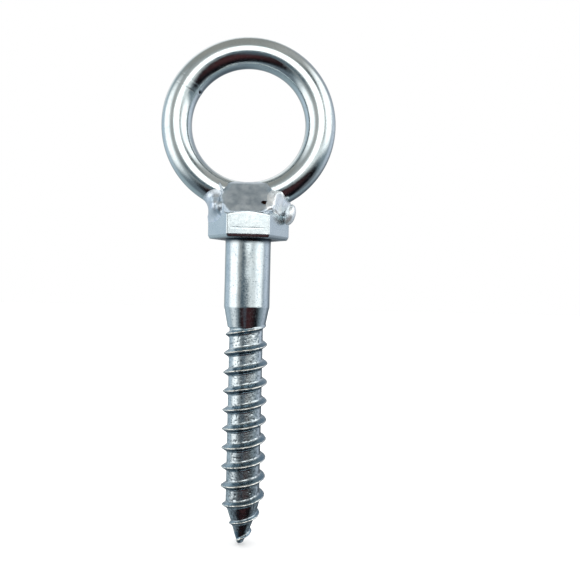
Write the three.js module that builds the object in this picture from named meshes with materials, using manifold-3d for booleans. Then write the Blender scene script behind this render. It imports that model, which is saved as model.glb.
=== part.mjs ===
// Welded eye bolt: a coach screw with a ring of round bar welded onto its hexagon head.
//
// Millimetres. The screw stands upright on the Z axis, and +Z points from the screw's point to the eye.
// The origin is the centre of the head's bearing face. The ring lies in the XZ plane, so the eye opens
// along Y, and two of the head's flats face -Y (the front) and +Y (the rear).

import * as THREE from 'three';
import { mergeVertices } from 'three/addons/utils/BufferGeometryUtils.js';
import Module from 'manifold-3d';

const wasm = await Module();
wasm.setup();

// Clearance that separate pieces keep where weld metal would join them.
const gap = 0.3;

// Ring
const barDiameter = 8;
const eyeOpening = 30;
const eyeCentreX = -0.6;
const eyeCentreZ = 30.25;
const seamAngle = THREE.MathUtils.degToRad(148);
const seamWeldLength = 1.6;
const seamWeldDiameter = 7.8;

// Head, sized for a 19 mm spanner
const headAcrossFlats = 18.6;
const headHeight = 7.2;
const headCornerRadius = 1;
const headEdgeHeight = 0.7;
const headEdgeInset = 0.4;
const crownRadius = 8.8;
const crownSlope = Math.tan(THREE.MathUtils.degToRad(30));

// Shank and thread, M12 coach screw
const shankDiameter = 12;
const underHeadLength = 80.5;
const shankEnd = -17;
const shoulderStart = -18.2;
const shoulderStartRadius = 5.7;
const shoulderEnd = -23.4;
const coreDiameter = 9;
const coneStart = -70;
const pointRadius = 0.7;
const threadDiameter = 11.8;
const threadPitch = 5;
const threadStart = -22.7;
const threadFull = -30;
const threadTaperStart = -67.7;
const threadEnd = -78;
const pointFullness = 1.75;
const runOutRadius = 4.7;
const crestHalfWidth = 0.2;
const rootHalfWidth = 1.6;
const ridgeDepth = 2.2;

// Welds
const weldReach = 20;
const padLow = 6.4;
const padTop = 14.8;
const padLowWidth = 15.6;
const padTopWidth = 11.8;
const endWeldStart = 8.1;
const leftWeld = { side: -1, centre: [-8.8, 0, 9.3], radii: [3.4, 5, 2.7] };
const rightWeld = { side: 1, centre: [9, 0, 9.6], radii: [3.9, 5.2, 3.1] };
const beadCentre = [10.9, -1.1, 7.2];
const beadRadii = [1.8, 2.8, 4.4];
const beadLean = THREE.MathUtils.degToRad(12);

// Fineness of the round stretches
const barSides = 18;
const ringSteps = 60;
const shankSides = 24;
const crownSides = 36;
const stepsPerTurn = 20;

const ringRadius = (eyeOpening + barDiameter) / 2;
const barRadius = barDiameter / 2;

// --- Solids ---

function toSolid(geometry) {
  geometry.deleteAttribute('normal');
  geometry.deleteAttribute('uv');
  const merged = mergeVertices(geometry);
  const index = merged.index.array;
  const corners = [];
  for (let i = 0; i < index.length; i += 3) {
    const [a, b, c] = [index[i], index[i + 1], index[i + 2]];
    if (a !== b && b !== c && c !== a) corners.push(a, b, c);
  }
  const vertProperties = new Float32Array(merged.attributes.position.array);
  return new wasm.Manifold(new wasm.Mesh({ numProp: 3, vertProperties, triVerts: new Uint32Array(corners) }));
}

function largestBody(solid) {
  const bodies = solid.decompose();
  return bodies.reduce((best, body) => (body.volume() > best.volume() ? body : best));
}

function toMesh(name, solid, color, roughness) {
  const { vertProperties, triVerts } = solid.getMesh();
  const geometry = new THREE.BufferGeometry();
  geometry.setAttribute('position', new THREE.BufferAttribute(vertProperties, 3));
  geometry.setIndex(new THREE.BufferAttribute(triVerts, 1));
  geometry.computeVertexNormals();
  const material = new THREE.MeshStandardMaterial({ color, roughness, metalness: 1 });
  const mesh = new THREE.Mesh(geometry, material);
  mesh.name = name;
  return mesh;
}

function revolve(points, sides) {
  const geometry = new THREE.LatheGeometry(points.map(([r, z]) => new THREE.Vector2(r, z)), sides);
  geometry.rotateX(Math.PI / 2);
  return toSolid(geometry);
}

function ellipsoid(centre, radii, tiltY = 0) {
  const geometry = new THREE.SphereGeometry(1, 20, 12);
  geometry.scale(...radii);
  geometry.rotateY(tiltY);
  geometry.translate(...centre);
  return toSolid(geometry);
}

function box(low, high) {
  const size = high.map((value, i) => value - low[i]);
  const centre = high.map((value, i) => (value + low[i]) / 2);
  const geometry = new THREE.BoxGeometry(...size);
  geometry.translate(...centre);
  return toSolid(geometry);
}

// --- Ring ---

class RingArc extends THREE.Curve {
  constructor(startAngle, endAngle) {
    super();
    this.startAngle = startAngle;
    this.endAngle = endAngle;
  }

  getPoint(t, target = new THREE.Vector3()) {
    const angle = THREE.MathUtils.lerp(this.startAngle, this.endAngle, t);
    return target.set(eyeCentreX + ringRadius * Math.cos(angle), 0, eyeCentreZ + ringRadius * Math.sin(angle));
  }
}

function barAlong(startAngle, endAngle, diameter, steps) {
  const section = new THREE.Shape().absarc(0, 0, diameter / 2, 0, 2 * Math.PI);
  const extrudePath = new RingArc(startAngle, endAngle);
  return toSolid(new THREE.ExtrudeGeometry(section, { steps, curveSegments: barSides / 2, extrudePath }));
}

function eyeRing() {
  const halfOpening = (seamWeldLength / 2 + gap) / ringRadius;
  const start = seamAngle + halfOpening;
  const end = seamAngle + 2 * Math.PI - halfOpening;
  return barAlong(start, end, barDiameter, ringSteps);
}

function ringButtWeld() {
  const halfLength = seamWeldLength / 2 / ringRadius;
  return barAlong(seamAngle - halfLength, seamAngle + halfLength, seamWeldDiameter, 2);
}

// The room that the ring takes, as a whole torus a little fatter than its bar.
function ringRoom() {
  const geometry = new THREE.TorusGeometry(ringRadius, barRadius + gap, barSides, ringSteps);
  geometry.rotateX(Math.PI / 2);
  geometry.translate(eyeCentreX, 0, eyeCentreZ);
  return toSolid(geometry);
}

// --- Coach screw ---

function hexagon(acrossFlats, cornerRadius) {
  const cornerCentre = (acrossFlats / 2 - cornerRadius) / Math.cos(Math.PI / 6);
  const outline = new THREE.Shape();
  for (let corner = 0; corner < 6; corner += 1) {
    const angle = (corner * Math.PI) / 3;
    const x = cornerCentre * Math.cos(angle);
    const y = cornerCentre * Math.sin(angle);
    outline.absarc(x, y, cornerRadius, angle - Math.PI / 6, angle + Math.PI / 6);
  }
  return outline;
}

// The head grows by the given amount all round and on top, to give the room that the head takes.
function head(growth = 0) {
  const height = headHeight + growth;
  const geometry = new THREE.ExtrudeGeometry(hexagon(headAcrossFlats + 2 * growth, headCornerRadius), {
    depth: height - 2 * headEdgeHeight,
    curveSegments: 3,
    bevelThickness: headEdgeHeight,
    bevelSize: headEdgeInset,
    bevelOffset: -headEdgeInset,
    bevelSegments: 2,
  });
  geometry.translate(0, 0, headEdgeHeight);
  const rim = headAcrossFlats;
  const rimHeight = height - (rim - crownRadius) * crownSlope;
  const crown = revolve([[0, -1], [rim, -1], [rim, rimHeight], [crownRadius, height], [0, height]], crownSides);
  return toSolid(geometry).intersect(crown);
}

function shank() {
  const shankRadius = shankDiameter / 2;
  const coreRadius = coreDiameter / 2;
  const profile = [
    [0, -underHeadLength],
    [pointRadius, -underHeadLength],
    [coreRadius, coneStart],
    [coreRadius, shoulderEnd],
    [shoulderStartRadius, shoulderStart],
    [shankRadius, shankEnd],
    [shankRadius, headEdgeHeight],
    [0, headEdgeHeight],
  ];
  return revolve(profile, shankSides);
}

function crestRadius(z) {
  const full = threadDiameter / 2;
  if (z > threadFull) return THREE.MathUtils.lerp(runOutRadius, full, (z - threadStart) / (threadFull - threadStart));
  if (z > threadTaperStart) return full;
  const along = (threadTaperStart - z) / (threadTaperStart + underHeadLength);
  return full * (1 - along ** pointFullness);
}

// A right-handed helix down the crest of the thread. Its frames hold the section square to the axis.
class CrestHelix extends THREE.Curve {
  getPoint(t, target = new THREE.Vector3()) {
    const z = THREE.MathUtils.lerp(threadStart, threadEnd, t);
    const angle = (2 * Math.PI * (z - threadStart)) / threadPitch;
    return target.set(crestRadius(z) * Math.cos(angle), crestRadius(z) * Math.sin(angle), z);
  }

  computeFrenetFrames(segments) {
    const frames = { tangents: [], normals: [], binormals: [] };
    for (let i = 0; i <= segments; i += 1) {
      const point = this.getPointAt(i / segments);
      frames.tangents.push(this.getTangentAt(i / segments));
      frames.normals.push(new THREE.Vector3(point.x, point.y, 0).normalize());
      frames.binormals.push(new THREE.Vector3(0, 0, 1));
    }
    return frames;
  }
}

function threadRidge() {
  const section = new THREE.Shape([
    new THREE.Vector2(0, -crestHalfWidth),
    new THREE.Vector2(0, crestHalfWidth),
    new THREE.Vector2(-ridgeDepth, rootHalfWidth),
    new THREE.Vector2(-ridgeDepth, -rootHalfWidth),
  ]);
  const turns = (threadStart - threadEnd) / threadPitch;
  const steps = Math.round(turns * stepsPerTurn);
  return toSolid(new THREE.ExtrudeGeometry(section, { steps, extrudePath: new CrestHelix() }));
}

function coachScrew() {
  return head().add(shank()).add(threadRidge()).subtract(ringRoom());
}

// --- Welds ---

// A pad of weld that runs from the front of the ring down to a flat of the head, and no wider than
// the head. Side is -1 in front and 1 behind.
function weldPad(side) {
  const outline = new THREE.Shape([
    new THREE.Vector2(-padLowWidth / 2, padLow),
    new THREE.Vector2(padLowWidth / 2, padLow),
    new THREE.Vector2(padLowWidth / 2, 10),
    new THREE.Vector2(padTopWidth / 2, padTop),
    new THREE.Vector2(-padTopWidth / 2, padTop),
    new THREE.Vector2(-padLowWidth / 2, 10),
  ]);
  const slab = new THREE.ExtrudeGeometry(outline, { depth: weldReach, bevelEnabled: false });
  slab.rotateX(Math.PI / 2);
  if (side > 0) slab.translate(0, weldReach, 0);

  // Seen from the side: steep where it leaves the ring, and flatter towards the edge of the head.
  const flat = headAcrossFlats / 2;
  const profile = new THREE.Shape([
    new THREE.Vector2(0, padLow),
    new THREE.Vector2(flat, padLow),
    new THREE.Vector2(flat, 8),
    new THREE.Vector2(6.7, 10.3),
    new THREE.Vector2(4.9, 12.6),
    new THREE.Vector2(2.3, 15),
    new THREE.Vector2(0, 15),
  ]);
  const wedge = new THREE.ExtrudeGeometry(profile, { depth: weldReach, bevelEnabled: false });
  wedge.translate(0, 0, -weldReach / 2);
  wedge.rotateX(Math.PI / 2);
  wedge.rotateZ((side * Math.PI) / 2);

  const headOutline = hexagon(headAcrossFlats, headCornerRadius);
  const overHead = new THREE.ExtrudeGeometry(headOutline, { depth: 16, curveSegments: 3, bevelEnabled: false });
  const pad = toSolid(slab).intersect(toSolid(wedge)).intersect(toSolid(overHead));
  return largestBody(pad.subtract(ringRoom()).subtract(head(gap)));
}

// A fillet of weld under the ring at one end of the head. Side is -1 on the left and 1 on the right.
function endWeld({ side, centre, radii }) {
  const near = side * endWeldStart;
  const far = side * weldReach;
  const end = box(
    [Math.min(near, far), -weldReach, padLow],
    [Math.max(near, far), weldReach, weldReach],
  );
  return largestBody(ellipsoid(centre, radii).intersect(end).subtract(ringRoom()).subtract(head(gap)));
}

// A lens-shaped run of weld that laps over the head's right-hand corner.
function lapBead() {
  const { centre, radii } = rightWeld;
  const neighbour = ellipsoid(centre, radii.map((radius) => radius + gap));
  const bead = ellipsoid(beadCentre, beadRadii, beadLean);
  return largestBody(bead.subtract(neighbour).subtract(ringRoom()).subtract(head(gap)));
}

// --- Assembly ---

const zinc = 0xb9c2c8;
const weldGrey = 0x9aa1a6;

const eyeBolt = new THREE.Group();
eyeBolt.add(
  toMesh('coach_screw', coachScrew(), zinc, 0.3),
  toMesh('eye_ring', eyeRing(), zinc, 0.2),
  toMesh('ring_butt_weld', ringButtWeld(), zinc, 0.35),
  toMesh('front_weld', weldPad(-1), weldGrey, 0.5),
  toMesh('rear_weld', weldPad(1), weldGrey, 0.5),
  toMesh('left_weld', endWeld(leftWeld), weldGrey, 0.4),
  toMesh('right_weld', endWeld(rightWeld), weldGrey, 0.4),
  toMesh('right_lap_bead', lapBead(), weldGrey, 0.4),
);

export default eyeBolt;
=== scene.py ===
import math

import bpy
import numpy as np
from mathutils import Matrix, Vector


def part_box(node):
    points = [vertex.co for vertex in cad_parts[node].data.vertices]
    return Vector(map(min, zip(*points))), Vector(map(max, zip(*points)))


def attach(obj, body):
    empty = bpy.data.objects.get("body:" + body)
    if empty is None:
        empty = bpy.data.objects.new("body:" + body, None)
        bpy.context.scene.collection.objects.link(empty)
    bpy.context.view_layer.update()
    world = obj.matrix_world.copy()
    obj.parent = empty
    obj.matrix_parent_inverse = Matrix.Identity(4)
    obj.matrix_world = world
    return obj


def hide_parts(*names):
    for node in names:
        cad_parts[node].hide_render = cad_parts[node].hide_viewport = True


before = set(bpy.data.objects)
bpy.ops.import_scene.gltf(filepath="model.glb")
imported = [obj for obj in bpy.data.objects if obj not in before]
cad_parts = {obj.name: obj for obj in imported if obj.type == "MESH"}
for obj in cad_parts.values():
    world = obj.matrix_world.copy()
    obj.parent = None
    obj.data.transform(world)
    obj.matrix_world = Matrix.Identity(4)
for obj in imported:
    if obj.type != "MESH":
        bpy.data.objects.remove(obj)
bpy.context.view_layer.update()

# Welded eye bolt: a ring of round bar welded onto the hexagon head of a coach screw, zinc plated.
# Shapes are worked out in millimetres, in the frame of the CAD model: the screw stands on the Z axis,
# +Z points to the eye, the origin is the centre of the head's bearing face, and the ring lies in XZ.

MM = 0.001
scene = bpy.context.scene


def mm_box(node):
    """Lowest and highest corners of a CAD node at rest."""
    low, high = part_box(node)
    return np.array(low) / MM, np.array(high) / MM


# --- Driving dimensions, in millimetres and degrees ---

ring_low, ring_high = mm_box("eye_ring")
screw_low, screw_high = mm_box("coach_screw")

BAR_RADIUS = 4.0
RING_RADIUS = 19.0
EYE_X = (ring_low[0] + ring_high[0]) / 2
EYE_Z = ring_high[2] - RING_RADIUS - BAR_RADIUS
SEAM_ANGLE = 148

ACROSS_FLATS = screw_high[1] - screw_low[1]
HEAD_HEIGHT = 7.2
HEAD_CORNER = 0.6
HEAD_TURN = 3
HEAD_BEVEL = 0.8
CROWN_RADIUS = 8.2
CROWN_FALL = 30
CROWN_SLOPE = math.tan(math.radians(CROWN_FALL))
EDGE_ROUNDING = 0.3

SHANK_RADIUS = 6.0
SHANK_END = -17.7
SHOULDER_END = -22.9
SHOULDER_RADIUS = 5.0
CORE_RADIUS = 4.45
CONE_START = -69.5
POINT_Z = screw_low[2]
POINT_RADIUS = 0.7
POINT_SHIFT = -0.35

CREST_RADIUS = 5.9
PITCH = 5.0
CREST_AT_X = -22.66
RUN_OUT_TOP = -22.9
RUN_OUT_END = -30.0
RUN_OUT_CREST = 5.3
CREST_ROUNDING = 0.14
FLANK_SLOPE = 1.55
ROOT_FILLET = 0.35


# --- Camera: its place, its angles below level and about its own line of sight, and its lens ---

CAMERA_PLACE = (11.35, -170.5, -11.29)
CAMERA_DIP = 0.585
CAMERA_ROLL = 1.363
CAMERA_LENS = 39.95


def make_camera():
    data = bpy.data.cameras.new("camera")
    data.sensor_width = 36
    data.lens = CAMERA_LENS
    data.clip_start = 0.01
    data.clip_end = 20
    camera = bpy.data.objects.new("camera", data)
    scene.collection.objects.link(camera)
    level = Matrix.Rotation(math.radians(90 - CAMERA_DIP), 4, "X")
    roll = Matrix.Rotation(math.radians(CAMERA_ROLL), 4, "Z")
    camera.matrix_world = Matrix.Translation(Vector(CAMERA_PLACE) * MM) @ level @ roll
    scene.camera = camera


# --- Numbers: smooth steps, blends and lumps ---

def smooth(low, high, value):
    """0 at low and beyond it, 1 at high and beyond it, with a smooth step between them."""
    t = np.clip((value - low) / (high - low), 0.0, 1.0)
    return t * t * (3 - 2 * t)


def join(a, b, reach):
    """The union of two distances, with a fillet that starts where they differ by reach."""
    h = np.clip(0.5 + 0.5 * (b - a) / reach, 0.0, 1.0)
    return b + (a - b) * h - reach * h * (1 - h)


def cut(a, b, reach):
    """The part that two distances share, with its edge rounded over the same reach."""
    return -join(-a, -b, reach)


LUMP_CELLS = 32


def lumps(x, y, z, size, seed):
    """Smooth random values from -1 to 1, in lumps about size millimetres across."""
    table = np.random.default_rng(seed).uniform(-1, 1, (LUMP_CELLS, LUMP_CELLS, LUMP_CELLS))
    place = np.stack([np.asarray(v, float) / size for v in np.broadcast_arrays(x, y, z)])
    cell = np.floor(place).astype(int)
    part = place - cell
    part = part * part * (3 - 2 * part)
    total = np.zeros(place.shape[1:])
    for corner in np.ndindex(2, 2, 2):
        weight = 1.0
        for axis in range(3):
            weight = weight * (part[axis] if corner[axis] else 1 - part[axis])
        index = [(cell[axis] + corner[axis]) % LUMP_CELLS for axis in range(3)]
        total += weight * table[tuple(index)]
    return total


# --- Meshes ---

def add_piece(name, points, faces, material, slot, *nodes):
    """A smooth-shaded piece from points in millimetres. It stands for the CAD nodes named."""
    mesh = bpy.data.meshes.new(name)
    mesh.from_pydata((np.asarray(points) * MM).tolist(), [], faces)
    mesh.shade_smooth()
    mesh.materials.append(material)
    piece = bpy.data.objects.new(name, mesh)
    scene.collection.objects.link(piece)
    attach(piece, "root")
    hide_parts(*nodes)
    return piece


def paint(piece, name, values):
    """Stores a value from 0 to 1 for each point, for the material to read."""
    attribute = piece.data.attributes.new(name, "FLOAT", "POINT")
    attribute.data.foreach_set("value", np.asarray(values, np.float32))


def skin(rows, first, last):
    """A closed mesh over rows of points, each row a loop, closed by a point at either end."""
    count, columns = rows.shape[:2]
    points = np.vstack([[first], rows.reshape(-1, 3), [last]])
    start = 1 + columns * np.arange(count - 1)[:, None]
    here = np.arange(columns)[None, :]
    after = (here + 1) % columns
    quads = [start + here, start + columns + here, start + columns + after, start + after]
    faces = np.stack(quads, axis=-1).reshape(-1, 4).tolist()
    end = 1 + columns * (count - 1)
    faces += [[0, 1 + i, 1 + (i + 1) % columns] for i in range(columns)]
    faces += [[len(points) - 1, end + (i + 1) % columns, end + i] for i in range(columns)]
    return points, faces


def surface_net(distance, low, high, step):
    """A closed mesh of the surface where a distance is zero, on a grid of that step."""
    axes = [np.arange(a - step, b + 2 * step, step) for a, b in zip(low, high)]
    x, y, z = np.meshgrid(*axes, indexing="ij")
    field = distance(x, y, z)
    for axis in range(3):
        border = [slice(None)] * 3
        for side in (0, -1):
            border[axis] = side
            field[tuple(border)] = step
    shape = np.array(field.shape)
    total = np.zeros(tuple(shape - 1) + (3,))
    hits = np.zeros(tuple(shape - 1))
    crossings = []
    for axis in range(3):
        lower = np.take(field, range(shape[axis] - 1), axis)
        upper = np.take(field, range(1, shape[axis]), axis)
        crossed = (lower < 0) != (upper < 0)
        share = np.where(crossed, lower / np.where(crossed, lower - upper, 1), 0)
        b, c = (axis + 1) % 3, (axis + 2) % 3
        place = np.stack(np.indices(lower.shape), axis=-1).astype(float)
        place[..., axis] += share
        for shift_b, shift_c in np.ndindex(2, 2):
            part = [slice(None)] * 3
            part[b] = slice(shift_b, shape[b] - 1 + shift_b)
            part[c] = slice(shift_c, shape[c] - 1 + shift_c)
            here = crossed[tuple(part)]
            total += np.where(here[..., None], place[tuple(part)], 0)
            hits += here
        crossings.append((axis, b, c, np.argwhere(crossed), lower < 0))
    used = hits > 0
    number = np.full(used.shape, -1)
    number[used] = np.arange(used.sum())
    origin = np.array([a[0] for a in axes])
    points = origin + step * total[used] / hits[used][:, None]
    faces = []
    for axis, b, c, edges, filled in crossings:
        corners = []
        for back_b, back_c in ((1, 1), (0, 1), (0, 0), (1, 0)):
            cell = edges.copy()
            cell[:, b] -= back_b
            cell[:, c] -= back_c
            corners.append(number[tuple(cell.T)])
        quads = np.stack(corners, axis=1)
        outward = filled[tuple(edges.T)]
        quads[~outward] = quads[~outward][:, ::-1]
        faces += quads.tolist()
    return points, faces


# --- Distances to the steel, for the welds to run into ---

def ring_distance(x, y, z):
    return np.hypot(np.hypot(x - EYE_X, z - EYE_Z) - RING_RADIUS, y) - BAR_RADIUS


def head_distance(x, y, z):
    angles = [math.radians(flat + HEAD_TURN) for flat in (30, 90, 150)]
    sides = [np.abs(x * math.cos(angle) + y * math.sin(angle)) for angle in angles]
    outside = np.maximum.reduce(sides) - ACROSS_FLATS / 2
    above_crown = z - HEAD_HEIGHT + (np.hypot(x, y) - CROWN_RADIUS) * CROWN_SLOPE
    crown = above_crown * math.cos(math.radians(CROWN_FALL))
    ends = np.maximum(np.maximum(z - HEAD_HEIGHT, crown), -z)
    return cut(outside, ends, EDGE_ROUNDING)


NEVER_ZERO = 1e-9


def ellipsoid(x, y, z, centre, radii, lean=0):
    """Distance to an ellipsoid that leans by an angle about Y."""
    c, s = math.cos(math.radians(lean)), math.sin(math.radians(lean))
    px, py, pz = x - centre[0], y - centre[1], z - centre[2]
    px, pz = px * c - pz * s, px * s + pz * c
    rx, ry, rz = radii
    near = np.sqrt((px / rx) ** 2 + (py / ry) ** 2 + (pz / rz) ** 2) + NEVER_ZERO
    steep = np.sqrt((px / rx ** 2) ** 2 + (py / ry ** 2) ** 2 + (pz / rz ** 2) ** 2) + NEVER_ZERO
    return near * (near - 1) / steep


# --- Eye ring ---

RING_STEPS = 420
BAR_SIDES = 72
SEAM_HALF = 1.5
BAR_END = 0.6
BAR_TUCK = 0.4
TUCK_DEPTH = 0.3
SEAM_STEPS = 48
SEAM_PROUD = 0.022
SEAM_SUNK = 0.006
NICK_LENGTH = 0.4
NICK_WIDTH = 0.17
NICK_DEPTH = 0.55
NICK_TURN = 0.2


def bar_grid(angles):
    """Angles along the ring and round the bar, for every point of the bar's skin."""
    around = 2 * math.pi * np.arange(BAR_SIDES) / BAR_SIDES
    return np.meshgrid(np.radians(angles), around, indexing="ij")


def bar_rows(angles, radius):
    """Loops of points round the bar, one at each angle of the ring."""
    u, v = bar_grid(angles)
    size = radius(u, v)
    out = RING_RADIUS + size * np.cos(v)
    return np.stack([EYE_X + out * np.cos(u), -size * np.sin(v), EYE_Z + out * np.sin(u)], axis=-1)


def bar_centre(angle):
    """The point on the bar's own centre line at an angle of the ring."""
    u = math.radians(angle)
    return [EYE_X + RING_RADIUS * math.cos(u), 0, EYE_Z + RING_RADIUS * math.sin(u)]


def bar_waves(u, v):
    """The drawn bar is a little uneven, with fine marks that run along it."""
    x, y, z = RING_RADIUS * np.cos(u), BAR_RADIUS * np.sin(v), RING_RADIUS * np.sin(u)
    broad = 0.022 * lumps(x + BAR_RADIUS * np.cos(v), y, z, 7, 3)
    marks = 0.0035 * lumps(x / 9, v * 12, z / 9, 0.9, 4) + 0.0025 * lumps(x / 5, v * 26, z / 5, 0.9, 7)
    return broad + marks


def make_eye_ring(material):
    half = math.degrees(BAR_END / RING_RADIUS)
    angles = np.linspace(SEAM_ANGLE + half, SEAM_ANGLE + 360 - half, RING_STEPS)

    def radius(u, v):
        off_seam = np.radians(180 - np.abs(np.degrees(u) - SEAM_ANGLE - 180)) * RING_RADIUS
        tucked = smooth(BAR_END + BAR_TUCK, BAR_END, off_seam)
        return BAR_RADIUS + bar_waves(u, v) - TUCK_DEPTH * tucked

    points, faces = skin(bar_rows(angles, radius), bar_centre(angles[0]), bar_centre(angles[-1]))
    piece = add_piece("ring_bar", points, faces, material, "zinc_plated_ring", "eye_ring")
    paint(piece, "painted_shade", np.zeros(len(points)))


def nick(u, v):
    """A pit in the closing weld, on the inside of the ring: 1 at its middle and 0 away from it."""
    along = RING_RADIUS * (u - math.radians(SEAM_ANGLE))
    return np.exp(-((along / NICK_LENGTH) ** 2) - ((v - math.pi + NICK_TURN) / NICK_WIDTH) ** 2)


def make_seam_weld(material):
    half = math.degrees(SEAM_HALF / RING_RADIUS)
    angles = np.linspace(SEAM_ANGLE - half, SEAM_ANGLE + half, SEAM_STEPS)

    def radius(u, v):
        along = np.abs(np.degrees(u) - SEAM_ANGLE) / half
        x, y, z = RING_RADIUS * u, BAR_RADIUS * np.sin(v), BAR_RADIUS * np.cos(v)
        rough = 0.008 * lumps(x, y, z, 0.9, 5)
        proud = (SEAM_PROUD + rough) * smooth(1, 0.55, along)
        return BAR_RADIUS + bar_waves(u, v) + proud - SEAM_SUNK - NICK_DEPTH * nick(u, v)

    points, faces = skin(bar_rows(angles, radius), bar_centre(angles[0]), bar_centre(angles[-1]))
    piece = add_piece("ring_seam_weld", points, faces, material, "zinc_plated_ring", "ring_butt_weld")
    # Painted shade: the pit of the nick is darkened in the colour.
    dark = smooth(0.15, 0.5, nick(*bar_grid(angles)))
    paint(piece, "painted_shade", np.concatenate([[0], dark.ravel(), [0]]))


# --- Coach screw ---

COLUMNS_PER_CORNER = 32
COLUMN_CROWDING = 1.6
THREAD_STEP = 0.17
FACET_LINE = 2.4
FACET_LINE_DEPTH = 0.035
FACET_MARGIN = 0.6
RIM_DROP = 0.12
BEARING_INSET = 0.5
CORE_TAPER = 1.15
THREAD_SUNK = 6
THREAD_WANDER = 0.08
CHIP_DEPTH = 0.1
PIT_DEPTH = 0.08


def column_angles():
    """Angles round the axis, closest together at the head's corners."""
    spread = (np.arange(COLUMNS_PER_CORNER) + 0.5) / COLUMNS_PER_CORNER * 2 - 1
    sector = 30 * np.sign(spread) * np.abs(spread) ** COLUMN_CROWDING
    corners = 60 * np.arange(6)[:, None] + HEAD_TURN
    return np.radians(corners + sector[None, :]).ravel()


def from_corner(phi):
    """Angle from the nearest corner of the head, in radians."""
    return np.abs((phi - math.radians(HEAD_TURN) + math.pi / 6) % (math.pi / 3) - math.pi / 6)


def hexagon_radius(phi, inset):
    """Distance from the axis to the side of the rounded hexagon, moved in by inset."""
    apothem = ACROSS_FLATS / 2 - inset
    centre = (apothem - HEAD_CORNER) / math.cos(math.pi / 6)
    off = from_corner(phi)
    edge = math.atan2(HEAD_CORNER / 2, centre + HEAD_CORNER * math.cos(math.pi / 6))
    flat = apothem / np.cos(math.pi / 6 - off)
    inner = np.sqrt(np.maximum(HEAD_CORNER ** 2 - (centre * np.sin(off)) ** 2, 0))
    return np.where(off < edge, centre * np.cos(off) + inner, flat)


def facet_groove(phi, height):
    """Depth of the faint forging line that frames each flat."""
    from_edge = ACROSS_FLATS / 2 * (math.tan(math.pi / 6) - np.tan(math.pi / 6 - from_corner(phi)))
    upright = np.exp(-((from_edge - FACET_MARGIN) / 0.16) ** 2)
    level = np.exp(-((height - FACET_LINE) / 0.12) ** 2) * smooth(0.9, 1.6, from_edge)
    broken = smooth(-0.5, 0.3, lumps(9 * np.cos(phi), 9 * np.sin(phi), height, 1.3, 8))
    return FACET_LINE_DEPTH * (0.4 + 0.6 * broken) * np.maximum(upright, level)


def crown_rows(phi, side):
    """The flat top of the head, and the crown that falls away to the rim."""
    rows = [(np.full_like(phi, r), np.full_like(phi, HEAD_HEIGHT)) for r in (1.5, 3, 4.5, 6, 7.2, 8)]
    for share in (0, 0.25, 0.5, 0.75, 0.93):
        r = CROWN_RADIUS + share * (side - CROWN_RADIUS)
        rows.append((r, HEAD_HEIGHT - (r - CROWN_RADIUS) * CROWN_SLOPE))
    return rows


def side_rows(phi, side):
    """The flats, with loops close together where the forging line crosses them."""
    rim = HEAD_HEIGHT - (side - CROWN_RADIUS) * CROWN_SLOPE
    rows = [(side - 0.04, rim - 0.02), (side, rim - RIM_DROP)]
    middle = FACET_LINE + 0.8
    for share in (0.1, 0.25, 0.4, 0.55, 0.7, 0.85):
        height = rim - RIM_DROP + share * (middle - rim)
        rows.append((side - facet_groove(phi, height), height))
    close = np.arange(middle, FACET_LINE - 0.7, -0.1)
    wide = np.arange(FACET_LINE - 0.8, 0.9, -0.2)
    for height in np.concatenate([close, wide]):
        rows.append((side - facet_groove(phi, height), np.full_like(phi, height)))
    rows.append((side, np.full_like(phi, HEAD_BEVEL + 0.06)))
    return rows


def bearing_rows(phi):
    """The rounded lower edge, the bearing face, and the fillet into the shank."""
    edge = ((0.02, HEAD_BEVEL), (0.12, 0.55), (0.24, 0.3), (0.36, 0.08), (BEARING_INSET, 0.0))
    rows = [(hexagon_radius(phi, inset), np.full_like(phi, height)) for inset, height in edge]
    low = hexagon_radius(phi, BEARING_INSET)
    for share in (0.2, 0.5, 0.8):
        rows.append((low + share * (SHANK_RADIUS + 0.5 - low), np.full_like(phi, 0.0)))
    for r, height in ((0.5, 0.0), (0.2, -0.1), (0.05, -0.35), (0, -0.8)):
        rows.append((np.full_like(phi, SHANK_RADIUS + r), np.full_like(phi, height)))
    return rows


def head_rows(phi):
    """Radius and height of each loop, from the middle of the head's top to the shank under it."""
    side = hexagon_radius(phi, 0)
    return crown_rows(phi, side) + side_rows(phi, side) + bearing_rows(phi)


def core_radius(z):
    """Shank, shoulder, core and point, without the thread."""
    shoulder = np.interp(z, [SHOULDER_END, SHANK_END], [SHOULDER_RADIUS, SHANK_RADIUS])
    below = smooth(SHOULDER_END - 0.5, SHOULDER_END - 0.1, z)
    straight = CORE_RADIUS + (shoulder - CORE_RADIUS) * below
    along = np.clip((CONE_START - z) / (CONE_START - POINT_Z), 0, 1)
    return straight - (CORE_RADIUS - POINT_RADIUS) * along ** CORE_TAPER


def crest_radius(z):
    """Low under the shoulder, falling away along the point, and sunk out of sight above the start."""
    run_out = np.interp(z, [RUN_OUT_END, RUN_OUT_TOP], [CREST_RADIUS, RUN_OUT_CREST])
    heights = [POINT_Z, -77.4, -75, -72.4, -70.2, -67.2]
    point = np.interp(z, heights, [0.9, 2.9, 3.4, 4.7, 5.4, CREST_RADIUS])
    sunk = THREAD_SUNK * smooth(CREST_AT_X + 0.3, CREST_AT_X + 1.2, z)
    return np.minimum(run_out, point) - sunk


def thread_ridge(phi, z):
    """How far a point is above the nearest crest, and that crest's radius and height."""
    turn = np.round((z - CREST_AT_X) / PITCH - phi / (2 * math.pi))
    crest_z = CREST_AT_X + PITCH * (turn + phi / (2 * math.pi))
    wander = THREAD_WANDER * lumps(4 * np.cos(phi), 4 * np.sin(phi), crest_z, 2.2, 11)
    return z - crest_z + wander, crest_radius(crest_z), crest_z


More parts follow.
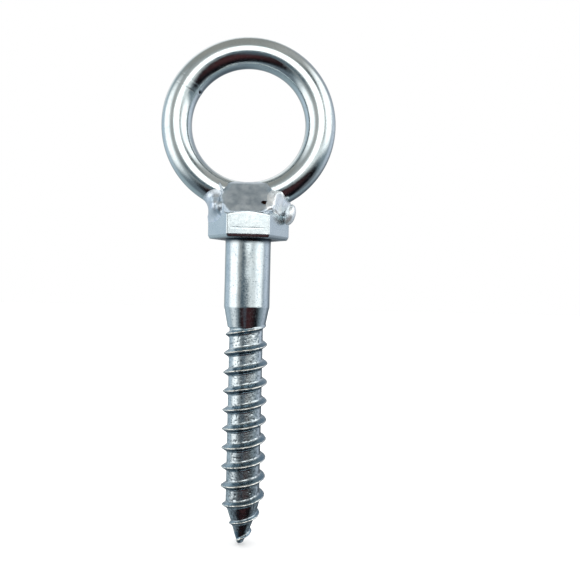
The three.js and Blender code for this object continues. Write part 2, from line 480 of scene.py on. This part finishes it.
def thread_radius(phi, z):
    """The core with a right-handed ridge wound round it."""
    off, crest, crest_z = thread_ridge(phi, z)
    slope = FLANK_SLOPE * (np.sqrt(off ** 2 + CREST_ROUNDING ** 2) - CREST_ROUNDING)
    chips = lumps(6 * np.cos(phi), 6 * np.sin(phi), crest_z, 0.7, 12)
    crest = crest - CHIP_DEPTH * smooth(0.2, 0.9, chips)
    return -join(-core_radius(z), -(crest - slope), ROOT_FILLET)


def dents(phi, z, r):
    """How far the forged and rolled surface stands out or is pitted."""
    x, y = r * np.cos(phi), r * np.sin(phi)
    threaded = smooth(-22, -24.5, z)
    fine = (0.004 + 0.008 * threaded) * lumps(x, y, z, 0.8, 21)
    broad = 0.015 * lumps(x, y, z, 3.5, 22)
    pits = -PIT_DEPTH * smooth(0.4, 0.95, lumps(x, y, z / 0.8, 0.8, 23)) * threaded
    return fine + broad + pits


def screw_heights():
    """Heights of the loops down the shank, the shoulder and the thread."""
    return np.concatenate([
        np.arange(-1.3, SHANK_END + 0.3, -0.5),
        SHANK_END + np.array([0.25, 0.1, -0.05, -0.25]),
        np.arange(SHANK_END - 0.6, SHOULDER_END + 0.3, -0.35),
        np.arange(SHOULDER_END + 0.2, POINT_Z + 0.9, -THREAD_STEP),
    ])


def paint_screw(piece, points):
    """Where shade is painted under the head, on the flanks, under the crests and down the lower roots, where
    a highlight is painted along the crests, and where the steel is rough.
    """
    x, y, z = points.T
    phi, r = np.arctan2(y, x), np.hypot(x, y)
    off, crest, _ = thread_ridge(phi, z)
    core = core_radius(z)
    height = (r - core) / np.maximum(crest - core, 0.3)
    threaded = smooth(-22.6, -23.6, z)
    flank = smooth(0.08, 0.3, height) * threaded
    top = smooth(0.87, 0.96, height) * threaded
    # Painted shade: the inner corner under the head, where the bearing face meets the shank, is darkened in
    # the colour.
    corner = smooth(1.6, 0.1, -z) * smooth(-0.3, 0.0, -z) * smooth(8.6, 7.0, r)
    # The flanks' dark teal is partly darker, rougher zinc and partly painted shade deep in the thread.
    paint(piece, "flank", flank * (1 - top))
    # Painted shade: the lower flank, under each crest, is darkened in the colour.
    paint(piece, "below", smooth(0.1, -0.3, off) * flank * (1 - top))
    # Painted highlight: the crests get a bright cream colour.
    paint(piece, "crest", top)
    paint(piece, "painted_shade", corner)
    paint(piece, "threaded", threaded)
    # Painted shade: the roots darken towards the point.
    paint(piece, "shade_low_in_roots", smooth(-38, -70, z) * (1 - flank))
    paint(piece, "drawn", smooth(-0.5, -2, z) * (1 - 0.6 * threaded))


def make_screw(material):
    phi = column_angles()
    loops = [np.stack([r * np.cos(phi), r * np.sin(phi), z], axis=-1) for r, z in head_rows(phi)]
    for z in screw_heights():
        r = thread_radius(phi, z)
        r = r + dents(phi, z, r)
        shift = POINT_SHIFT * smooth(-74, POINT_Z, z)
        loops.append(np.stack([shift + r * np.cos(phi), r * np.sin(phi), np.full_like(phi, z)], axis=-1))
    end = loops[-1]
    middle = np.array([POINT_SHIFT, 0, POINT_Z])
    for share, height in ((0.8, 0.45), (0.5, 0.15), (0.25, 0.03)):
        loop = middle + (end - middle) * share
        loop[:, 2] = POINT_Z + height
        loops.append(loop)
    points, faces = skin(np.array(loops), [0, 0, HEAD_HEIGHT], middle)
    piece = add_piece("screw_body", points, faces, material, "zinc_plated_screw", "coach_screw")
    paint_screw(piece, points)


# --- Welds ---

NET_STEP = 0.13
STEEL_COVER = 0.04
STEEL_DEPTH = 0.5
PAD_TOP = 15.0
PAD_BOTTOM = 6.5
PAD_RUN_IN = 0.9
PAD_SEEDS = {"front": 31, "rear": 41}
LOBE_PROUD = 0.3
RIPPLE_PITCH = 1.1
RIPPLE_HEIGHT = 0.015
LEFT_FILLET = 2.6
RIGHT_FILLET = 0.5
LAP_FILLET = 0.2


def add_weld(name, shape, low, high, material, node, rust=None):
    """A bead meshed from its distance, between two corners, with rust painted where it is given."""
    points, faces = surface_net(shape, low, high, NET_STEP)
    piece = add_piece(name, points, faces, material, "weld_metal", node)
    paint(piece, "rust", rust(*points.T) if rust else np.zeros(len(points)))


def on_steel(bead, x, y, z, fillet):
    """Runs a bead into the ring and the head with a fillet, and leaves out what lies deep in them.

    Where no bead covers the steel, the surface lies STEEL_COVER inside it, out of sight.
    """
    ring = ring_distance(x, y, z)
    head = head_distance(x, y, z)
    whole = join(join(bead, ring, fillet), head, fillet) + STEEL_COVER
    return np.maximum.reduce([whole, -ring - STEEL_DEPTH, -head - STEEL_DEPTH, bead - 1.3 * fillet])


def pad_bead(x, y, z, side, seed):
    """A broad saddle of weld from the ring down to the top edge of a flat."""
    heights = [5.6, 6.6, 7.1, 8.2, 10.3, 12.6, 14.2, 15.6]
    face = np.interp(z, heights, [9.6, 9.34, 9.0, 8.2, 6.6, 4.9, 3.6, 1.4])
    front = (y * side - face) * 0.76
    width = np.interp(z, [5.6, 7.2, 8.6, 10, 10.8, 14.5], [4.6, 6.0, 6.9, 7.2, 7.2, 5.8])
    ends = (np.abs(x + 0.1) - width) * 0.9
    bead = cut(front, ends, 1.8)
    bead = cut(bead, z - PAD_TOP, 0.8)
    bead = cut(bead, PAD_BOTTOM - 0.02 * x ** 2 - z, 0.1)
    return bead + 0.05 * lumps(x, y, z, 2.2, seed) + 0.012 * lumps(x, y, z, 0.5, seed + 1)


def pad_on_steel(bead, x, y, z):
    """The pad runs out flush along the flat's top edge, and with a broad fillet beside it."""
    fillet = 0.3 + 1.5 * smooth(4.6, 6.6, np.abs(x)) * smooth(10.5, 8.5, z)
    return on_steel(bead, x, y, z, fillet)


def front_pit(x, y, z):
    """The small rusty pit at the right of the front pad."""
    return ellipsoid(x, y, z, (4.4, -7.65, 9.05), (0.8, 1.3, 0.42), 12)


def make_front_weld(material):
    def shape(x, y, z):
        toe = ellipsoid(x, y, z, (-7.1, -5.9, 7.9), (1.25, 1.5, 1.3))
        ridge = ellipsoid(x, y, z, (-6.7, -4.6, 12.2), (0.4, 0.9, 2.4), -20)
        bead = pad_bead(x, y, z, -1, PAD_SEEDS["front"])
        bead = join(join(bead, toe, 0.5), ridge, 0.3)
        bead = cut(bead, -front_pit(x, y, z), 0.12)
        return pad_on_steel(bead, x, y, z)

    def rust(x, y, z):
        return smooth(0.22, 0.02, front_pit(x, y, z))

    add_weld("front_weld_pad", shape, (-9.6, -10, 5.4), (9.6, 0, 15.6), material, "front_weld", rust)


def make_rear_weld(material):
    def shape(x, y, z):
        toe = ellipsoid(x, y, z, (6.9, 5.7, 8.5), (1.5, 1.7, 1.5))
        ridge = ellipsoid(x, y, z, (-6.6, 4.2, 12.2), (0.5, 1.1, 2.4), -16)
        bead = pad_bead(x, y, z, 1, PAD_SEEDS["rear"])
        return pad_on_steel(join(join(bead, toe, 0.7), ridge, 0.4), x, y, z)

    add_weld("rear_weld_pad", shape, (-9.6, 0, 5.4), (9.6, 10, 15.6), material, "rear_weld")


def make_left_weld(material):
    def shape(x, y, z):
        bead = ellipsoid(x, y, z, (-8.2, -0.8, 8.4), (2.4, 5.6, 2.6))
        bead = bead + 0.03 * lumps(x, y, z, 2.6, 51) + 0.015 * lumps(x, y, z, 0.8, 52)
        return on_steel(bead, x, y, z, LEFT_FILLET)

    add_weld("left_weld_bead", shape, (-14.5, -7.4, 3.4), (-4.6, 7.4, 14.4), material, "left_weld")


def make_right_weld(material):
    """A lumpy fillet. It stops just proud of the head's side flat, and runs into the front pad."""
    def shape(x, y, z):
        body = ellipsoid(x, y, z, (8.3, 0, 9.0), (3.0, 5.2, 2.7))
        lobe = ellipsoid(x, y, z, (7.7, -4.5, 9.3), (2.6, 3.1, 3.0), 8)
        toe = ellipsoid(x, y, z, (6.3, -7.4, 7.7), (1.0, 0.8, 0.8))
        bead = join(join(body, lobe, 1.0), toe, 0.8)
        flat = math.radians(HEAD_TURN - 30)
        past_flat = x * math.cos(flat) + y * math.sin(flat) - ACROSS_FLATS / 2
        bead = cut(bead, past_flat - LOBE_PROUD, 0.5)
        ripple = RIPPLE_HEIGHT * np.sin(np.hypot(x - 3.5, z - 13.5) * 2 * math.pi / RIPPLE_PITCH)
        bead = bead + ripple + 0.05 * lumps(x, y, z, 1.5, 61) + 0.02 * lumps(x, y, z, 0.6, 62)
        pad = pad_bead(x, y, z, -1, PAD_SEEDS["front"])
        run_in = np.maximum(join(bead, pad, PAD_RUN_IN), -pad - STEEL_DEPTH)
        return np.maximum(on_steel(run_in, x, y, z, RIGHT_FILLET), bead - PAD_RUN_IN)

    add_weld("right_weld_bead", shape, (3.8, -8.8, 4.0), (13.4, 6.8, 14), material, "right_weld")


def make_lap_bead(material):
    def shape(x, y, z):
        bead = ellipsoid(x, y, z, (10.85, -2.4, 6.6), (1.5, 2.2, 2.8), 14)
        bead = bead + 0.015 * lumps(x, y, z, 1.4, 71)
        return on_steel(bead, x, y, z, LAP_FILLET)

    add_weld("lap_weld_bead", shape, (7.5, -5, 2.5), (13, 2.5, 11.5), material, "right_lap_bead")


# --- Materials ---

def new_material(name, metal=1.0):
    """A metal, with its node tree and its shader."""
    material = bpy.data.materials.new(name)
    material.use_nodes = True
    tree = material.node_tree
    shader = tree.nodes["Principled BSDF"]
    shader.inputs["Metallic"].default_value = metal
    return material, tree, shader


def add(tree, kind, settings=None, **inputs):
    """A node of that kind. Inputs are values or sockets, by name, or by number as i0, i1 and so on."""
    node = tree.nodes.new(kind)
    for key, value in (settings or {}).items():
        setattr(node, key, value)
    for key, value in inputs.items():
        numbered = key[0] == "i" and key[1:].isdigit()
        socket = node.inputs[int(key[1:]) if numbered else key]
        if isinstance(value, bpy.types.NodeSocket):
            tree.links.new(value, socket)
        else:
            socket.default_value = value
    return node


def math_node(tree, operation, *values):
    numbered = {f"i{k}": value for k, value in enumerate(values)}
    return add(tree, "ShaderNodeMath", {"operation": operation}, **numbered).outputs[0]


def pattern(tree, place, size, detail=3.0, roughness=0.55):
    """Cloudy noise whose lumps are about size millimetres across."""
    scale = 1 / (size * MM)
    node = add(tree, "ShaderNodeTexNoise", Vector=place, Scale=scale, Detail=detail, Roughness=roughness)
    return node.outputs["Fac"]


def stretched(tree, place, scale, turn=(0, 0, 0)):
    """The same place, turned and scaled, so that a pattern is drawn out along one way."""
    return add(tree, "ShaderNodeMapping", Vector=place, Rotation=turn, Scale=scale).outputs[0]


def remap(tree, value, low, high, to_low, to_high):
    """A smooth step from to_low, where the value is low, to to_high, where it is high."""
    node = add(tree, "ShaderNodeMapRange", {"interpolation_type": "SMOOTHSTEP"},
               i0=value, i1=low, i2=high, i3=to_low, i4=to_high)
    return node.outputs[0]


def ramp(tree, value, stops):
    """A colour for each value, blended between the stops."""
    node = add(tree, "ShaderNodeValToRGB", Fac=value)
    elements = node.color_ramp.elements
    while len(elements) < len(stops):
        elements.new(0.5)
    for element, (place, colour) in zip(elements, stops):
        element.position = place
        element.color = (*colour, 1)
    return node.outputs["Color"]


def bump(tree, height, depth, normal=None):
    """Bump whose full height is depth millimetres."""
    node = add(tree, "ShaderNodeBump", Height=height, Distance=depth * MM, Strength=1.0)
    if normal is not None:
        tree.links.new(normal, node.inputs["Normal"])
    return node.outputs["Normal"]


def object_place(tree):
    return add(tree, "ShaderNodeTexCoord").outputs["Object"]


def layer(tree, name):
    """A value that was painted onto the mesh."""
    return add(tree, "ShaderNodeAttribute", {"attribute_name": name}).outputs["Fac"]


def shade_over(tree, below, share, colour):
    """One colour laid over what is below it, as far as the share says."""
    mix = add(tree, "ShaderNodeMix", {"data_type": "RGBA"}, i0=share, i6=below, i7=(*colour, 1))
    return mix.outputs[2]


def times(tree, a, b):
    return math_node(tree, "MULTIPLY", a, b)


def ring_zinc():
    material, tree, shader = new_material("bright zinc on round bar")
    place = object_place(tree)
    cloud = pattern(tree, place, 5)
    grain = pattern(tree, place, 0.35, 4)
    specks = pattern(tree, place, 0.9, 5, 0.7)
    tint = ramp(tree, cloud, [(0.3, (0.64, 0.72, 0.74)), (0.7, (0.74, 0.80, 0.80))])
    tint = shade_over(tree, tint, remap(tree, specks, 0.5, 0.75, 0, 0.35), (0.40, 0.46, 0.48))
    # Painted shade, near black, in the pit of the nick.
    tint = shade_over(tree, tint, layer(tree, "painted_shade"), (0.02, 0.02, 0.025))
    tree.links.new(tint, shader.inputs["Base Color"])
    tree.links.new(remap(tree, specks, 0.3, 0.75, 0.08, 0.26), shader.inputs["Roughness"])
    tree.links.new(bump(tree, grain, 0.006), shader.inputs["Normal"])
    return material


def screw_tint(tree, place, specks):
    """Clean on the head, streaked on the shank, and blotched on the thread, with darker zinc and painted
    shade on its flanks, painted shade under its crests, down its lower roots and under the head, and a
    painted highlight along its crests.
    """
    drawn = layer(tree, "drawn")
    cloud = pattern(tree, place, 4)
    streaks = pattern(tree, stretched(tree, place, (1, 1, 0.12)), 0.7, 4)
    dust = pattern(tree, place, 0.4, 2)
    streaked = times(tree, remap(tree, streaks, 0.5, 0.7, 0, 0.5), drawn)
    dusty = times(tree, remap(tree, dust, 0.57, 0.7, 0, 0.75), drawn)
    blotched = times(tree, remap(tree, specks, 0.52, 0.68, 0, 0.8), layer(tree, "threaded"))
    # Painted shade, patchy, in the roots towards the point.
    painted_root_shade = times(tree, remap(tree, specks, 0.4, 0.6, 0.1, 0.65), layer(tree, "shade_low_in_roots"))
    tint = ramp(tree, cloud, [(0.3, (0.64, 0.72, 0.75)), (0.7, (0.75, 0.81, 0.82))])
    tint = shade_over(tree, tint, streaked, (0.42, 0.49, 0.53))
    tint = shade_over(tree, tint, dusty, (0.28, 0.34, 0.38))
    tint = shade_over(tree, tint, blotched, (0.14, 0.18, 0.20))
    tint = shade_over(tree, tint, painted_root_shade, (0.17, 0.19, 0.21))
    # Darker zinc and painted shade on the flanks.
    tint = shade_over(tree, tint, times(tree, layer(tree, "flank"), 0.9), (0.19, 0.30, 0.38))
    # Painted shade under each crest, on the lower flank.
    tint = shade_over(tree, tint, times(tree, layer(tree, "below"), 0.9), (0.045, 0.085, 0.115))
    # Painted highlight along the crests.
    tint = shade_over(tree, tint, layer(tree, "crest"), (0.92, 0.90, 0.82))
    # Painted shade, dark blue-black, in the corner under the head.
    return shade_over(tree, tint, layer(tree, "painted_shade"), (0.03, 0.05, 0.07))


def screw_zinc():
    material, tree, shader = new_material("bright zinc on forged steel")
    place = object_place(tree)
    grain = pattern(tree, place, 0.3, 4)
    specks = pattern(tree, place, 0.6, 2)
    tree.links.new(screw_tint(tree, place, specks), shader.inputs["Base Color"])
    smooth_skin = remap(tree, specks, 0.35, 0.7, 0.11, 0.22)
    forged = math_node(tree, "SUBTRACT", 1, layer(tree, "drawn"))
    rough = math_node(tree, "ADD", smooth_skin, times(tree, forged, 0.12))
    tree.links.new(rough, shader.inputs["Roughness"])
    height = times(tree, specks, math_node(tree, "ADD", times(tree, layer(tree, "threaded"), 0.8), 0.2))
    tree.links.new(bump(tree, height, 0.035, bump(tree, grain, 0.004)), shader.inputs["Normal"])
    return material


def weld_grey(name, low, high, smoothest, roughest, depth, metal):
    """Weld metal in clouds between two greys, with its range of roughness and the depth of its grain.

    Where it is less than fully metal, its pale colour gives back light of its own, a painted highlight.
    """
    material, tree, shader = new_material(name, metal)
    place = object_place(tree)
    cloud = pattern(tree, place, 2.2, 5)
    grain = pattern(tree, stretched(tree, place, (1, 1, 0.3), (0, 0.7, 0)), 0.25, 4)
    tint = ramp(tree, cloud, [(0.35, low), (0.65, high)])
    tint = shade_over(tree, tint, remap(tree, grain, 0.55, 0.75, 0, 0.4), low)
    tint = shade_over(tree, tint, layer(tree, "rust"), (0.07, 0.018, 0.008))
    tree.links.new(tint, shader.inputs["Base Color"])
    tree.links.new(remap(tree, cloud, 0.35, 0.65, smoothest, roughest), shader.inputs["Roughness"])
    tree.links.new(bump(tree, grain, depth), shader.inputs["Normal"])
    return material


# --- Studio ---

# What the metal mirrors. Each zone is an azimuth and an elevation in degrees (0, 0 is straight ahead of
# the object's front, and positive is to the right and up), half its width and height, the share of it
# that its soft edge takes, and its colour. Later zones lie over earlier ones.
SKY_BASE = (0.24, 0.30, 0.34)
SKY_ZONES = [
    ("ceiling", 0, 84, 220, 46, 0.4, (0.34, 0.33, 0.305)),
    ("ceiling_right", 75, 60, 55, 18, 0.7, (0.45, 0.44, 0.43)),
    ("wall_right", 140, 12, 44, 40, 0.5, (0.38, 0.41, 0.46)),
    ("wall_left", -120, 2, 32, 40, 0.6, (0.38, 0.46, 0.50)),
    ("side_left", -114, 4, 18, 20, 0.8, (0.56, 0.66, 0.76)),
    ("side_right", 117, 4, 20, 20, 0.8, (0.64, 0.70, 0.80)),
    ("rear_light", -160, 38, 34, 20, 0.6, (1.1, 1.1, 1.1)),
    ("rear_light_low", -176, 12, 24, 18, 0.7, (0.62, 0.62, 0.63)),
    ("floor_rear", 160, -26, 28, 30, 0.7, (0.11, 0.135, 0.16)),
    ("front_wall", -4, 13, 50, 28, 0.5, (0.46, 0.46, 0.45)),
    ("floor_left", -70, -50, 26, 24, 0.6, (0.15, 0.18, 0.21)),
    ("floor_front", 19, -50, 74, 38.5, 0.14, (0.004, 0.005, 0.007)),
    ("floor_right", 90, -36, 12, 10, 0.7, (0.16, 0.17, 0.19)),
    ("warm_floor", 8, -36, 32, 18, 0.8, (0.070, 0.026, 0.028)),
    ("streak", -6, -15, 7, 13, 0.8, (0.08, 0.10, 0.12)),
    ("low_front", 46, 0, 34, 5.5, 0.4, (0.95, 0.98, 0.98)),
    ("grey_panel", -10, -4, 21, 9, 0.35, (0.11, 0.15, 0.18)),
    ("softbox_left", -70, 8, 25, 28, 0.4, (1.5, 1.5, 1.5)),
    ("softbox_right", 66, 21, 25, 24, 0.4, (1.7, 1.7, 1.7)),
    ("softbox_right_top", 84, 36, 24, 18, 0.5, (1.5, 1.5, 1.5)),
    ("softbox_front", 6, 20.2, 21, 17, 0.3, (2.1, 2.1, 2.07)),
    ("flag", 34, 38, 10, 8, 0.8, (0.12, 0.14, 0.14)),
]
ZONE_SQUARENESS = 2.6
EVEN_LIGHT = 1.6
FLOOR_HALF = 1500
FLOOR_GAP = 0.3


def sky_angles(tree):
    """Azimuth and elevation of the direction that is looked up, in degrees."""
    look = add(tree, "ShaderNodeTexCoord").outputs["Generated"]
    part = add(tree, "ShaderNodeSeparateXYZ", Vector=look).outputs
    azimuth = math_node(tree, "ARCTAN2", part["X"], math_node(tree, "MULTIPLY", part["Y"], -1))
    elevation = math_node(tree, "ARCSINE", part["Z"])
    return [math_node(tree, "DEGREES", angle) for angle in (azimuth, elevation)]


def sky_zone(tree, angles, below, zone):
    """A soft-edged zone of the sky, in front of what is below it."""
    name, azimuth, elevation, half_width, half_height, soft, colour = zone
    powers = []
    for angle, middle, half in zip(angles, (azimuth, elevation), (half_width, half_height)):
        off = math_node(tree, "WRAP", math_node(tree, "SUBTRACT", angle, middle), 180, -180)
        off = math_node(tree, "ABSOLUTE", off)
        powers.append(math_node(tree, "POWER", math_node(tree, "DIVIDE", off, half), ZONE_SQUARENESS))
    reach = math_node(tree, "POWER", math_node(tree, "ADD", *powers), 1 / ZONE_SQUARENESS)
    share = remap(tree, reach, 1 - soft, 1 + soft, 1, 0)
    settings = {"data_type": "RGBA", "label": name}
    return add(tree, "ShaderNodeMix", settings, i0=share, i6=below, i7=(*colour, 1)).outputs[2]


def make_world():
    """Reflections see the zones. The camera sees plain white, and matt surfaces get an even light."""
    world = bpy.data.worlds.new("studio")
    scene.world = world
    world.use_nodes = True
    tree = world.node_tree
    angles = sky_angles(tree)
    shade = (*SKY_BASE, 1)
    for zone in SKY_ZONES:
        shade = sky_zone(tree, angles, shade, zone)
    path = add(tree, "ShaderNodeLightPath").outputs
    plain = shade_over(tree, (1, 1, 1, 1), path["Is Diffuse Ray"], (EVEN_LIGHT, EVEN_LIGHT, EVEN_LIGHT))
    mirrored = add(tree, "ShaderNodeMix", {"data_type": "RGBA"}, i0=path["Is Glossy Ray"], i6=plain, i7=shade)
    background = tree.nodes["Background"]
    tree.links.new(mirrored.outputs[2], background.inputs["Color"])
    background.inputs["Strength"].default_value = 1.0


def make_floor():
    """A plain pale floor just under the point. Reflections don't see it, so the metal shows the zones."""
    mesh = bpy.data.meshes.new("floor")
    sides = ((-1, -1), (1, -1), (1, 1), (-1, 1))
    corners = [(a * FLOOR_HALF, b * FLOOR_HALF, POINT_Z - FLOOR_GAP) for a, b in sides]
    mesh.from_pydata([tuple(Vector(corner) * MM) for corner in corners], [], [(0, 1, 2, 3)])
    floor = bpy.data.objects.new("floor", mesh)
    scene.collection.objects.link(floor)
    floor.visible_glossy = False
    material = bpy.data.materials.new("pale floor")
    material.use_nodes = True
    shader = material.node_tree.nodes["Principled BSDF"]
    shader.inputs["Base Color"].default_value = (0.9, 0.9, 0.9, 1)
    shader.inputs["Roughness"].default_value = 0.8
    shader.inputs["Specular IOR Level"].default_value = 0.0
    mesh.materials.append(material)


# --- Everything ---

make_camera()
make_world()
make_floor()

ring_finish = ring_zinc()
screw_finish = screw_zinc()
pad_finish = weld_grey("brushed weld metal", (0.46, 0.55, 0.63), (0.73, 0.80, 0.85),
                       smoothest=0.34, roughest=0.48, depth=0.06, metal=1.0)
# The bead and fillet finishes are lighter, partly non-metal copies of the weld metal: painted highlight on
# the side beads.
bead_highlit_finish = weld_grey("plated weld bead with painted highlight", (0.80, 0.87, 0.92), (0.96, 0.98, 0.98),
                        smoothest=0.26, roughest=0.40, depth=0.04, metal=0.8)
fillet_highlit_finish = weld_grey("plated weld fillet with painted highlight", (0.60, 0.69, 0.78), (0.82, 0.88, 0.93),
                          smoothest=0.28, roughest=0.42, depth=0.04, metal=0.92)

make_screw(screw_finish)
make_eye_ring(ring_finish)
make_seam_weld(ring_finish)
make_front_weld(pad_finish)
make_rear_weld(pad_finish)
make_left_weld(fillet_highlit_finish)
make_right_weld(bead_highlit_finish)
make_lap_bead(bead_highlit_finish)

scene.view_settings.view_transform = "Standard"
